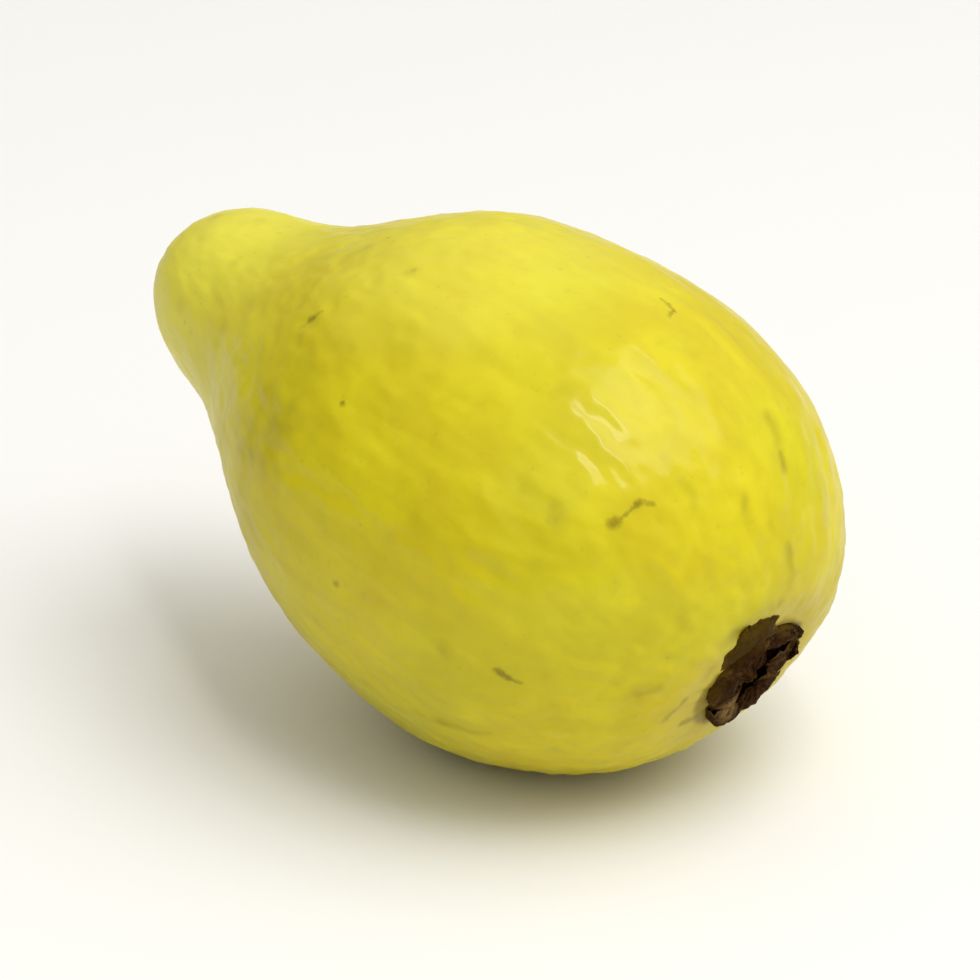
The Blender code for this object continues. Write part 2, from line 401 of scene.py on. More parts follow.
def make_mesh(name, points, faces, attributes, material):
    """Smooth closed surface, with named values at its points."""
    data = bpy.data.meshes.new(name)
    data.from_pydata([tuple(p) for p in points], [], [tuple(int(i) for i in face) for face in faces])
    data.update()
    face_outwards(data)
    for label, values in attributes.items():
        layer = data.attributes.new(label, "FLOAT", "POINT")
        layer.data.foreach_set("value", np.asarray(values, dtype=np.float32))
    data.polygons.foreach_set("use_smooth", [True] * len(data.polygons))
    data.materials.append(material)
    thing = bpy.data.objects.new(name, data)
    bpy.context.scene.collection.objects.link(thing)
    return thing


def skin_rings():
    """Rings of fine points, and each point's distance along the fruit, plain radius and direction."""
    angle = np.linspace(0.0, 2.0 * math.pi, SKIN_SEGMENTS, endpoint=False)
    profile = fruit_profile(SKIN_RINGS)[1:]
    drawn_in = rim_radius(angle) / CROWN_RIM - 1.0
    rings = []
    for s, r in profile:
        near_lip = (1.0 - fade(r, POCKET_LIP_RADIUS, 0.0128)) * (s > 0.0)
        rings.append(ring_points(s, fruit_radius(s, r, angle) * (1.0 + drawn_in * near_lip), angle))
    points = np.array(rings)
    normals = grid_normals(points)
    middle = np.array([spine_frame(s)[0] for s in profile[:, 0]])
    if ((points - middle[:, None]) * normals).sum(axis=2).mean() < 0.0:
        normals = -normals
    along = np.broadcast_to(profile[:, :1], points.shape[:2])
    radius = np.broadcast_to(profile[:, 1:], points.shape[:2])
    turned = np.broadcast_to(angle, points.shape[:2])
    relief = skin_relief(points, along, turned, radius)
    return points + normals * relief[..., None], along, radius, turned


def pocket_rings(lip):
    """Rings from the lip of the pocket down its wall and over its floor."""
    centre, tangent, _, _ = spine_frame(BLOSSOM_REACH)
    offset = lip - centre
    flat = offset - (offset @ tangent)[:, None] * tangent
    return np.array([centre + flat * share - depth * MM * tangent for share, depth in POCKET_WALL])


def skin_fields(points, along, radius, turned):
    """Named values at each point of the skin, which its material reads."""
    flow = np.stack([np.cos(turned) * radius, np.sin(turned) * radius, along * 0.22], axis=-1)
    return {
        "flow_x": flow[..., 0],
        "flow_y": flow[..., 1],
        "along": along,
        "clouds": 0.5 + 0.5 * noise(points, 0.0105, 41) + 0.22 * noise(points, 0.0048, 42),
        "green": 0.5 + 0.6 * noise(points, 0.027, 43),
        "streaks": 0.5 + 0.5 * noise(flow, 0.0034, 44) + 0.3 * noise(flow, 0.0017, 45),
        "gloss": 0.5 + 0.5 * noise(points, 0.0060, 46),
        "faint": faint_marks_and_shade(points),
        "pale": pale_neck_and_sheen_share(points, along),
    }


def make_skin(material):
    """Closed skin over the whole fruit and into the pocket, flat where it meets the floor."""
    skin, along, radius, turned = skin_rings()
    pocket = pocket_rings(skin[-1])
    points = np.concatenate([skin, pocket])
    rows, columns = points.shape[:2]
    stem = spine_frame(STEM_ALONG)[0] + np.array([STEM_SCAR_DEPTH * MM, 0.0, 0.0])
    centre, tangent, _, _ = spine_frame(BLOSSOM_REACH)
    flat_points = np.vstack([points.reshape(-1, 3), stem, centre - POCKET_DEPTH * MM * tangent])
    flat_points[:, 2] = np.maximum(flat_points[:, 2], 0.0)
    attributes = {}
    for label, values in skin_fields(skin, along, radius, turned).items():
        in_pocket = np.tile(values[-1], len(pocket))
        ends = [values[0].mean(), values[-1].mean()]
        attributes[label] = np.concatenate([values.ravel(), in_pocket, ends])
    return make_mesh("guava_skin_fine", flat_points, tube_faces(rows, columns), attributes, material)


# Helpers for the materials

def new_material(name):
    material = bpy.data.materials.new(name)
    material.use_nodes = True
    tree = material.node_tree
    tree.nodes.clear()
    output = tree.nodes.new("ShaderNodeOutputMaterial")
    shader = tree.nodes.new("ShaderNodeBsdfPrincipled")
    tree.links.new(shader.outputs["BSDF"], output.inputs["Surface"])
    return material, tree, shader


def set_input(tree, socket, value):
    if isinstance(value, bpy.types.NodeSocket):
        tree.links.new(value, socket)
    else:
        socket.default_value = value


def math_node(tree, operation, first, second=0.0, third=0.0, clamp=False):
    node = tree.nodes.new("ShaderNodeMath")
    node.operation = operation
    node.use_clamp = clamp
    set_input(tree, node.inputs[0], first)
    set_input(tree, node.inputs[1], second)
    set_input(tree, node.inputs[2], third)
    return node.outputs[0]


def ramp(tree, value, start, end, low=0.0, high=1.0):
    """Smoothly maps value from start..end to low..high."""
    node = tree.nodes.new("ShaderNodeMapRange")
    node.interpolation_type = "SMOOTHSTEP"
    set_input(tree, node.inputs["Value"], value)
    node.inputs["From Min"].default_value = start
    node.inputs["From Max"].default_value = end
    node.inputs["To Min"].default_value = low
    node.inputs["To Max"].default_value = high
    return node.outputs["Result"]


def colour_value(colour):
    return colour if isinstance(colour, bpy.types.NodeSocket) else (*colour, 1.0)


def mix_colour(tree, share, first, second):
    node = tree.nodes.new("ShaderNodeMix")
    node.data_type = "RGBA"
    set_input(tree, node.inputs["Factor"], share)
    set_input(tree, node.inputs["A"], colour_value(first))
    set_input(tree, node.inputs["B"], colour_value(second))
    return node.outputs["Result"]


def noise_node(tree, vector, scale, detail, roughness=0.5):
    node = tree.nodes.new("ShaderNodeTexNoise")
    tree.links.new(vector, node.inputs["Vector"])
    node.inputs["Scale"].default_value = scale
    node.inputs["Detail"].default_value = detail
    node.inputs["Roughness"].default_value = roughness
    return node


def distance_to_dots(tree, vector, scale):
    """Distance to the nearest of many scattered dots."""
    node = tree.nodes.new("ShaderNodeTexVoronoi")
    tree.links.new(vector, node.inputs["Vector"])
    node.inputs["Scale"].default_value = scale
    return node.outputs["Distance"]


def attribute(tree, name):
    node = tree.nodes.new("ShaderNodeAttribute")
    node.attribute_name = name
    return node.outputs["Fac"]


def vector_of(tree, x, y, z):
    node = tree.nodes.new("ShaderNodeCombineXYZ")
    set_input(tree, node.inputs[0], x)
    set_input(tree, node.inputs[1], y)
    set_input(tree, node.inputs[2], z)
    return node.outputs[0]


def vector_math(tree, operation, first, second, third=(0.0, 0.0, 0.0)):
    node = tree.nodes.new("ShaderNodeVectorMath")
    node.operation = operation
    for socket, value in zip(node.inputs, (first, second, third)):
        set_input(tree, socket, value if isinstance(value, bpy.types.NodeSocket) else tuple(value))
    return node.outputs["Value" if operation in ("DOT_PRODUCT", "DISTANCE") else "Vector"]


def distance_to_line(tree, vector, first, last):
    """Distance to the straight piece between two points, which may be one point."""
    reach = last - first
    length = float(reach @ reach)
    if length < 1e-12:
        return vector_math(tree, "DISTANCE", vector, first)
    offset = vector_math(tree, "SUBTRACT", vector, first)
    share = vector_math(tree, "DOT_PRODUCT", offset, reach / length)
    share = math_node(tree, "MAXIMUM", share, 0.0, clamp=True)
    nearest = vector_math(tree, "MULTIPLY_ADD", vector_of(tree, share, share, share), reach, first)
    return vector_math(tree, "DISTANCE", vector, nearest)


def bump(tree, height, strength, distance, normal=None):
    node = tree.nodes.new("ShaderNodeBump")
    node.inputs["Strength"].default_value = strength
    node.inputs["Distance"].default_value = distance
    tree.links.new(height, node.inputs["Height"])
    if normal is not None:
        tree.links.new(normal, node.inputs["Normal"])
    return node.outputs["Normal"]


# Crisp marks on the skin: from and to, as distance along the fruit in mm and direction in degrees,
# then radius in mm and darkness. A mark with equal ends is a round speck.
MARKS = (
    (-25.5, 226.4, -25.1, 225.8, 0.66, 0.62),
    (-25.0, 225.2, -24.3, 223.2, 0.26, 0.40),
    (-25.6, 227.6, -26.0, 229.6, 0.24, 0.34),
    (-12.8, 239.0, -12.8, 239.0, 0.52, 0.72),
    (-4.2, 275.0, -4.2, 275.0, 0.60, 0.66),
    (21.0, 272.0, 22.6, 273.0, 0.58, 0.62),
    (22.6, 273.0, 24.0, 273.2, 0.34, 0.52),
    (22.5, 226.0, 22.6, 225.2, 0.82, 0.60),
    (22.7, 224.6, 22.8, 219.4, 0.30, 0.48),
    (22.8, 218.6, 22.9, 217.8, 0.50, 0.62),
    (23.1, 217.2, 23.9, 215.8, 0.40, 0.44),
    (6.7, 173.0, 7.6, 173.1, 0.30, 0.60),
    (7.6, 173.1, 8.7, 174.0, 0.42, 0.74),
    (8.7, 174.2, 9.1, 177.0, 0.36, 0.62),
    (26.6, 173.2, 27.4, 173.7, 0.62, 0.34),
    (37.1, 300.0, 37.3, 306.0, 0.70, 0.50),
    (36.7, 287.0, 37.0, 270.0, 0.60, 0.34),
    (34.6, 247.0, 34.6, 247.0, 0.36, 0.40),
    (-17.6, 203.0, -17.6, 203.0, 0.46, 0.30),
    (-27.2, 192.0, -27.2, 192.0, 0.34, 0.30),
    (4.0, 20.0, 4.4, 21.4, 0.95, 0.50),
    (16.0, 60.0, 16.6, 61.0, 0.75, 0.60),
    (24.0, 120.0, 24.3, 121.0, 0.60, 0.55),
    (24.3, 121.0, 25.9, 124.0, 0.30, 0.42),
    (-20.0, 80.0, -20.0, 80.0, 0.65, 0.50),
    (-36.0, 130.0, -36.0, 130.0, 0.50, 0.55),
    (-6.0, 330.0, -5.5, 331.0, 0.70, 0.50),
)

# Soft strokes and blotches, and one wide blotch of painted shade on the neck's left: from and to, as
# distance along the fruit in mm and direction in degrees, then radius in mm and strength
STROKES = (
    (-29.1, 201.0, -28.2, 199.0, 1.2, 0.14),
    (-18.0, 203.6, -17.2, 202.6, 0.9, 0.26),
    (-41.1, 174.0, -40.6, 175.0, 0.8, 0.45),
    (13.7, 273.0, 14.2, 274.0, 1.0, 0.28),
    (17.2, 231.0, 18.0, 233.5, 1.0, 0.36),
    (34.6, 267.0, 35.2, 264.0, 1.2, 0.50),
    (33.0, 232.0, 33.8, 235.0, 1.0, 0.36),
    (23.2, 171.8, 25.8, 173.2, 0.80, 0.52),
    (26.4, 173.2, 27.6, 173.8, 0.85, 0.56),
    (28.4, 193.0, 31.0, 195.4, 0.65, 0.42),
    (31.6, 187.5, 33.2, 184.0, 0.60, 0.26),
    (33.8, 182.6, 36.3, 179.6, 0.85, 0.46),
    (24.0, 206.0, 26.4, 207.0, 0.60, 0.22),
    # Painted shade: the shadow of a neighbouring fruit, painted on the neck's left
    (-22.8, 253.0, -20.0, 256.0, 4.0, 0.34),
    (-27.0, 262.0, -25.0, 264.0, 3.0, 0.26),
    (8.0, 300.8, 14.0, 299.2, 0.55, 0.50),
    (14.0, 299.2, 21.5, 296.8, 0.60, 0.56),
    (-5.0, 120.0, -4.0, 121.0, 0.9, 0.50),
    (11.0, 95.0, 13.0, 96.0, 0.9, 0.45),
    (-33.0, 40.0, -31.5, 42.0, 1.1, 0.50),
    (-14.0, 150.0, -13.0, 149.0, 0.9, 0.42),
    (28.0, 330.0, 29.5, 332.0, 1.2, 0.50),
    (-28.0, 310.0, -27.0, 309.0, 1.1, 0.45),
    (2.0, 70.0, 6.0, 72.0, 2.6, 0.26),
    (-8.0, 35.0, -5.0, 34.0, 2.2, 0.30),
    (27.0, 95.0, 30.0, 97.0, 0.8, 0.42),
    (25.0, 52.0, 29.0, 50.0, 0.7, 0.36),
    (36.80, 188.0, 36.70, 207.0, 1.1, 0.60),
    (36.70, 207.0, 36.80, 226.0, 1.1, 0.58),
    (36.95, 232.0, 37.10, 250.0, 0.7, 0.34),
)


def faint_marks_and_shade(points):
    """Strength of the soft strokes, of the one blotch of painted shade and of small random flecks at each
    point, with uneven edges.
    """
    random = np.random.default_rng(61)
    total = np.zeros(points.shape[:-1])
    wobble = np.stack([noise(points, 0.0020, seed) for seed in (62, 63, 64)], axis=-1)
    uneven = np.clip(0.75 + 0.9 * noise(points, 0.0026, 65), 0.25, 1.25)
    for first_mm, first_turn, last_mm, last_turn, radius, strength in STROKES:
        first = skin_point(first_mm, first_turn)
        reach = skin_point(last_mm, last_turn) - first
        place = points + wobble * 0.80 * radius * MM - first
        share = np.clip(place @ reach / (reach @ reach), 0.0, 1.0)
        away = np.linalg.norm(place - share[..., None] * reach, axis=-1)
        total = np.maximum(total, strength * uneven * bell(away, 0.0, radius * MM))
    for _ in range(FLECK_COUNT):
        place = skin_point(random.uniform(-60.0, 35.0), random.uniform(0.0, 360.0))
        radius = random.uniform(0.45, 1.3)
        strength = random.uniform(0.06, 0.24)
        away = np.linalg.norm(points - place + wobble * 0.5 * radius * MM, axis=-1)
        total = np.maximum(total, strength * bell(away, 0.0, radius * MM))
    return total


def pale_neck_and_sheen_share(points, along):
    """Share of the paler colour: the neck is paler all round, and the top of the shoulder gets a painted
    sheen.
    """
    neck = 0.55 * (1.0 - fade(along, -0.058, -0.022))
    # The top of the shoulder is made paler by its height above the floor: a painted sheen
    top = 0.30 * fade(points[..., 2] + 0.0020 * noise(points, 0.0080, 66), 0.0575, 0.0675)
    return np.maximum(neck, top * (1.0 - fade(along, -0.006, 0.012)))


def jittered(tree, coordinates, scale, reach):
    """Coordinates pushed about by a fine noise, which gives marks uneven edges."""
    colour = noise_node(tree, coordinates, scale, 1.0).outputs["Color"]
    shifted = vector_math(tree, "MULTIPLY_ADD", colour, (reach, reach, reach), coordinates)
    return vector_math(tree, "SUBTRACT", shifted, (0.5 * reach, 0.5 * reach, 0.5 * reach))


def streaked(tree, distance, streaks, reach):
    """Distance pushed in and out by the lengthwise streaks."""
    centred = math_node(tree, "SUBTRACT", streaks, 0.5)
    return math_node(tree, "MULTIPLY_ADD", centred, reach, distance)


def skin_colour(tree, streaks, fine):
    """Warm yellow with greenish clouds, lengthwise streaks, a paler neck and a painted sheen on the top of
    the shoulder.
    """
    clouds = attribute(tree, "clouds")
    green = attribute(tree, "green")
    colour = mix_colour(tree, ramp(tree, clouds, 0.30, 0.75), RIPE_YELLOW, DEEP_YELLOW)
    colour = mix_colour(tree, ramp(tree, green, 0.48, 0.80, 0.0, 0.40), colour, UNRIPE_GREEN)
    colour = mix_colour(tree, ramp(tree, streaks, 0.50, 0.85, 0.0, 0.30), colour, DARK_STREAK)
    colour = mix_colour(tree, ramp(tree, streaks, 0.40, 0.10, 0.0, 0.30), colour, BRIGHT_STREAK)
    colour = mix_colour(tree, ramp(tree, fine, 0.42, 0.72, 0.0, 0.20), colour, FINE_MOTTLE)
    # Paler neck, and the painted sheen on the top of the shoulder
    return mix_colour(tree, attribute(tree, "pale"), colour, PALE_NECK_AND_PAINTED_SHEEN)


def crown_stain_and_shade_colour(tree, colour, halo_edge, seam_edge):
    """Dull stained halo around the crown, and a darker seam at its edge, which is partly brown stain and
    partly painted shade where the crown meets the skin.
    """
    halo = ramp(tree, halo_edge, 0.0088, 0.0165, 0.66, 0.0)
    # Darker seam where the crown meets the skin: partly brown stain, partly painted shade
    seam = ramp(tree, seam_edge, 0.0083, 0.0094, 0.66, 0.0)
    return mix_colour(tree, seam, mix_colour(tree, halo, colour, CROWN_HALO), CROWN_SEAM_STAIN_AND_SHADE)


def marked_colour(tree, colour, coordinates, rough_edged, fine):
    """Breathing pores, faint blotches with one of painted shade among them, and crisp specks and scratches.
    """
    pores = ramp(tree, distance_to_dots(tree, coordinates, 640.0), 0.05, 0.24, 0.30, 0.0)
    pores = math_node(tree, "MULTIPLY", pores, ramp(tree, fine, 0.50, 0.62))
    colour = mix_colour(tree, pores, colour, PORE)
    # Faint blotches, with the painted shade on the neck's left among them
    colour = mix_colour(tree, attribute(tree, "faint"), colour, FAINT_MARK_AND_SHADE)
    marked = 0.0
    for first_mm, first_turn, last_mm, last_turn, radius, darkness in MARKS:
        first, last = skin_point(first_mm, first_turn), skin_point(last_mm, last_turn)
        away = distance_to_line(tree, rough_edged, first, last)
        spot = ramp(tree, away, 0.20 * radius * MM, 1.45 * radius * MM, darkness, 0.0)
        marked = math_node(tree, "MAXIMUM", marked, spot)
    marked = math_node(tree, "MULTIPLY", marked, ramp(tree, fine, 0.34, 0.60, 0.70, 1.10))
    return mix_colour(tree, marked, colour, CRISP_MARK)


def stem_scar_colour(tree, colour, from_stem, cork, fine):
    """Stained skin around the corky brown scar where the stalk has come away."""
    stained = ramp(tree, from_stem, 0.0030, 0.0062, 0.45, 0.0)
    colour = mix_colour(tree, stained, colour, STEM_STAIN)
    cork_colour = mix_colour(tree, ramp(tree, fine, 0.35, 0.65), CORK_DARK, CORK_LIGHT)
    centre = ramp(tree, from_stem, 0.0007, 0.0019, 0.75, 0.0)
    return mix_colour(tree, cork, colour, mix_colour(tree, centre, cork_colour, CORK_CENTRE))


def skin_material():
    """Yellow skin with its stains and marks, a waxy gloss and a fine grain."""
    material, tree, shader = new_material("guava_skin_look")
    coordinates = tree.nodes.new("ShaderNodeTexCoord").outputs["Object"]
    streaks = attribute(tree, "streaks")
    fine = noise_node(tree, coordinates, 480.0, 3.0, 0.6).outputs["Fac"]
    rough_edged = jittered(tree, coordinates, 1900.0, 0.0005)
    from_crown = vector_math(tree, "DISTANCE", coordinates, spine_frame(BLOSSOM_REACH)[0])
    halo_edge = streaked(tree, from_crown, streaks, 0.0018)
    seam_edge = streaked(tree, from_crown, streaks, 0.0007)
    from_stem = vector_math(tree, "DISTANCE", rough_edged, spine_frame(STEM_ALONG)[0])
    cork = ramp(tree, from_stem, 0.0027, 0.0036, 1.0, 0.0)

    colour = skin_colour(tree, streaks, fine)
    colour = crown_stain_and_shade_colour(tree, colour, halo_edge, seam_edge)
    colour = marked_colour(tree, colour, coordinates, rough_edged, fine)
    colour = stem_scar_colour(tree, colour, from_stem, cork, fine)
    tree.links.new(colour, shader.inputs["Base Color"])
    add_gloss(tree, shader, halo_edge, cork)
    add_grain(tree, shader)
    return material


def add_gloss(tree, shader, halo_edge, cork):
    """Waxy gloss, which is duller around the crown and on the scar."""
    near_crown = ramp(tree, halo_edge, 0.0090, 0.0150, 0.60, 0.24)
    rough = ramp(tree, attribute(tree, "gloss"), 0.2, 0.8, 0.34, 0.46)
    rough = math_node(tree, "MAXIMUM", rough, math_node(tree, "MULTIPLY", cork, 0.85))
    rough = math_node(tree, "MAXIMUM", rough, near_crown)
    tree.links.new(rough, shader.inputs["Roughness"])
    shader.inputs["IOR"].default_value = 1.40
    shader.inputs["Specular IOR Level"].default_value = 0.13
    shader.inputs["Coat Weight"].default_value = 0.16
    shader.inputs["Coat Roughness"].default_value = 0.10
    shader.inputs["Coat IOR"].default_value = 1.75


def add_grain(tree, shader):
    """Grain finer than the pebbles, drawn out lengthwise."""
    lengthwise = math_node(tree, "MULTIPLY", attribute(tree, "along"), 0.4)
    flow = vector_of(tree, attribute(tree, "flow_x"), attribute(tree, "flow_y"), lengthwise)
    grain = noise_node(tree, flow, 700.0, 2.0, 0.55).outputs["Fac"]
    tree.links.new(bump(tree, grain, 0.40, 0.00010), shader.inputs["Normal"])


# The crown: dried sepals around a shallow crater. Radii and heights are in mm, from the lip's centre.

def rim_radius(angle):
    """Outer radius of the crown's low cup, which is drawn in on its lower left."""
    return CROWN_RIM - DRAWN_IN * bell(turn_between(angle, DRAWN_IN_DIRECTION), 0.0, DRAWN_IN_WIDTH)


# Radius and height around the low cup of the crown, from under its rim to the stub of the style
CROWN_SECTIONS = (
    (4.0, -2.6), (7.4, -2.6), (7.9, -2.2), (8.1, -1.0), (8.30, -0.3), (8.40, 0.05), (8.30, 0.35),
    (7.95, 0.48), (7.4, 0.35), (6.9, 0.0), (6.4, -0.45), (5.9, -0.80), (5.4, -0.98), (4.9, -1.00),
    (4.4, -0.86), (3.9, -0.62), (3.4, -0.38), (2.9, -0.18), (2.4, -0.04), (2.0, 0.05), (1.6, 0.12),
    (1.3, 0.22), (1.05, 0.42), (0.95, 0.66), (0.80, 0.86), (0.5, 0.94), (0.2, 0.88),
)

# Direction in degrees, half width, thickness, lean of the tip in degrees, bluntness of the tip,
# curl of the edges, and the path of the sepal's middle as radius and height. The first one spreads
# outwards over the skin, and the others fold inwards.
SPREAD_DIRECTION = 211.0
SEPALS = (
    (SPREAD_DIRECTION, 5.0, 0.60, 0.0, 3.0, -0.70,
     ((6.7, -0.7), (7.2, 0.8), (9.2, 0.95), (11.5, 0.40), (13.3, -0.45))),
    (219.0, 3.8, 0.60, 5.0, 2.0, 0.25, ((7.4, -0.6), (8.1, 0.9), (7.6, 1.6), (6.4, 1.5), (5.2, 0.9))),
    (256.0, 3.8, 0.75, 6.0, 2.6, 0.30, ((7.2, -0.7), (7.7, 0.9), (6.4, 1.8), (4.8, 1.4), (3.6, 0.6))),
    (296.0, 3.8, 0.70, 2.0, 2.2, 0.25, ((6.2, -0.7), (6.6, 0.8), (5.4, 1.7), (3.4, 1.7), (1.4, 1.0))),
    (340.0, 4.9, 0.75, 2.0, 2.2, 0.35, ((7.3, -0.7), (8.3, 0.8), (8.4, 1.9), (6.1, 2.1), (3.8, 1.4))),
    (34.0, 5.2, 0.70, 6.0, 2.4, 0.35, ((7.9, -0.7), (8.8, 0.6), (8.0, 1.6), (5.4, 1.4), (3.2, 0.6))),
    (98.0, 2.6, 0.60, 4.0, 1.4, 0.30, ((7.7, -0.7), (8.4, 0.2), (8.2, 0.7), (7.9, 1.1), (7.7, 1.5))),
    (80.0, 3.6, 0.65, 8.0, 2.2, 0.30, ((7.6, -0.6), (8.1, 0.4), (6.6, 1.0), (4.8, 0.8), (3.2, 0.3))),
    (138.0, 2.8, 0.60, -4.0, 1.5, 0.30, ((7.8, -0.7), (8.5, 0.2), (8.4, 0.6), (8.3, 0.9), (8.3, 1.2))),
    (160.0, 3.8, 0.65, 4.0, 2.2, 0.25, ((7.6, -0.6), (8.1, 0.5), (7.2, 1.0), (5.8, 0.7), (4.6, 0.2))),
)


def crown_points(radius, angle, height):
    """Row-frame points from a radius, direction and height above the lip of the pocket, in mm."""
    centre, tangent, down, side = spine_frame(BLOSSOM_REACH)
    radius, angle, height = np.broadcast_arrays(radius, angle, height)
    across = np.cos(angle)[..., None] * down + np.sin(angle)[..., None] * side
    return centre + (height[..., None] * tangent + radius[..., None] * across) * MM


def crown_base():
    """Low cup: outer rim, a crater floor with fibres and lumps, and the stub of the style."""
    sections = np.array(CROWN_SECTIONS)
    rows, columns = len(sections), CROWN_SEGMENTS
    radius = np.broadcast_to(sections[:, :1], (rows, columns))
    height = np.broadcast_to(sections[:, 1:], (rows, columns))
    angle = np.linspace(0.0, 2.0 * math.pi, columns, endpoint=False)
    turn = np.broadcast_to(angle, (rows, columns))
    squeeze = 1.0 + (rim_radius(turn) / CROWN_RIM - 1.0) * fade(radius, 2.0, 7.0)
    spokes = np.stack([np.cos(turn) * 6.0, np.sin(turn) * 6.0, radius * 0.5], axis=-1)
    flat = np.stack([np.cos(turn) * radius, np.sin(turn) * radius, 0.0 * radius], axis=-1)
    outer = fade(radius, 6.6, 7.6) * (height > -2.0)
    floor = (1.0 - fade(radius, 6.0, 7.0)) * (height > -2.0)
    height = height + outer * 0.18 * noise(spokes, 0.8, 21)
    fibres = 0.30 * noise(spokes, 0.7, 22)
    lumps = 0.55 * noise(flat, 1.9, 25) + 0.18 * noise(flat, 0.7, 26)
    height = height + floor * (fibres + lumps)
    radius = radius * squeeze + outer * (0.14 * noise(spokes, 1.2, 23) - 0.05)
    ridge = 0.35 + 0.5 * noise(spokes, 0.7, 24)
    ridge += 0.30 * (1.0 - fade(radius, 2.5, 5.0)) * (height > -1.6)
    points = crown_points(radius, turn, height)
    ends = np.vstack([crown_points(0.0, 0.0, -2.6), crown_points(0.0, 0.0, 0.87)])
    flat_points = np.vstack([points.reshape(-1, 3), ends])
    ridge = np.concatenate([ridge.ravel(), [0.3, 0.5]])
    green = np.concatenate([(outer * (radius > 7.6)).ravel(), [0.0, 0.0]])
    return flat_points, tube_faces(rows, columns), ridge, green


def bezier(control, share):
    """Smooth path steered by five points, for shares of its length from 0 to 1."""
    weights = (1, 4, 6, 4, 1)
    terms = [weights[i] * share ** i * (1.0 - share) ** (4 - i) for i in range(5)]
    return sum(term[..., None] * np.array(point) for term, point in zip(terms, control))


def sepal_path(path, share):
    """Middle of a sepal at each share of its length, and the direction across its thickness."""
    step = bezier(path, share + 0.01) - bezier(path, share - 0.01)
    step /= np.linalg.norm(step, axis=-1, keepdims=True)
    return bezier(path, share), np.stack([step[..., 1], -step[..., 0]], axis=-1)


def sepal_tube():
    """Flat tube: share of its length, place across from -1 to 1 and place through from -1 to 1."""
    rows = np.ones((SEPAL_RINGS, 1))
    s = np.linspace(0.0, 1.0, SEPAL_RINGS)[:, None] * np.ones(SEPAL_SEGMENTS)
    around = np.linspace(0.0, 2.0 * math.pi, SEPAL_SEGMENTS, endpoint=False)
    face = np.sin(around) * rows
    return s, np.cos(around) * rows, np.sign(face) * np.abs(face) ** 0.75


def crown_sepal(direction, half_width, thickness, lean, blunt, curl, path, seed):
    """One dried sepal: a flat tube along its path, with creases, waves, curled edges and a ragged tip."""
    spreads = direction == SPREAD_DIRECTION
    s, across, face = sepal_tube()
    tip = np.stack([across * half_width, seed + 0.0 * s, 0.0 * s], axis=-1)
    ragged = 0.13 if spreads else 0.20
    share = s * (1.0 - ragged * np.clip(0.5 + noise(tip, 0.9, 37), 0.0, 1.0) * s)
    middle, outwards = sepal_path(path, share)
    edge = np.stack([0.0 * s, s * 4.0, seed + np.sign(across)], axis=-1)
    width = (half_width * (1.0 - s ** blunt) ** (1.0 / blunt) + 0.3) * (1.0 + 0.30 * noise(edge, 0.8, 35))
    plate = np.stack([across * width, s * 6.5, seed * 5.3 + 0.0 * s], axis=-1)
    wave = (0.40 * noise(plate, 2.8, 31) + 0.26 * noise(plate, 1.2, 32)) * (0.30 + 0.70 * s)
    crease = 0.26 * noise(plate * (1.0, 0.22, 1.0), 0.50, 33) + 0.12 * noise(plate, 0.45, 36)
    thick = 0.5 * thickness * (1.0 - 0.35 * s) * (1.0 - 0.45 * across ** 2)
    thick = thick * np.sqrt(np.clip(1.0 - s ** 12, 0.02, 1.0))
    offset = wave + face * thick + crease * (1.0 - across ** 6) - curl * across ** 2 * (0.3 + 0.7 * s)
    radius = middle[..., 0] + outwards[..., 0] * offset
    height = middle[..., 1] + outwards[..., 1] * offset
    bearing = math.radians(direction) + math.radians(lean) * s
    bearing = bearing + across * width / np.maximum(radius, 5.2)
    if not spreads:
        radius = radius - 0.85 * np.maximum(radius - rim_radius(bearing) - 0.45, 0.0)
    points = crown_points(radius, bearing, height)
    ends = np.vstack([points[0].mean(axis=0), points[-1].mean(axis=0)])
    ridge = 0.45 + 1.1 * crease * np.sign(height - middle[..., 1] + 0.01) + 0.30 * across ** 4 + 0.3 * wave
    green = 0.35 + 0.65 * fade(s, 0.45, 0.95) if spreads else 0.85 * (1.0 - fade(s, 0.10, 0.50))
    ridge = np.concatenate([ridge.ravel(), [0.3, 0.6]])
    green = np.concatenate([green.ravel(), [0.5, 0.5]])
    faces = tube_faces(SEPAL_RINGS, SEPAL_SEGMENTS)
    return np.vstack([points.reshape(-1, 3), ends]), faces, ridge, green


def make_crown(material):
    """The low cup and all its sepals as one piece."""
    parts = [crown_base()]
    for number, sepal in enumerate(SEPALS):
        parts.append(crown_sepal(*sepal, number + 1.0))
    points = []
    faces = []
    ridges = []
    greens = []
    count = 0
    for part_points, part_faces, ridge, green in parts:
        points.append(part_points)
        faces += [tuple(int(i) + count for i in face) for face in part_faces]
        ridges.append(ridge)
        greens.append(green)
        count += len(part_points)
    attributes = {"ridge": np.concatenate(ridges), "green": np.concatenate(greens)}
    return make_mesh("guava_crown_fine", np.vstack(points), faces, attributes, material)


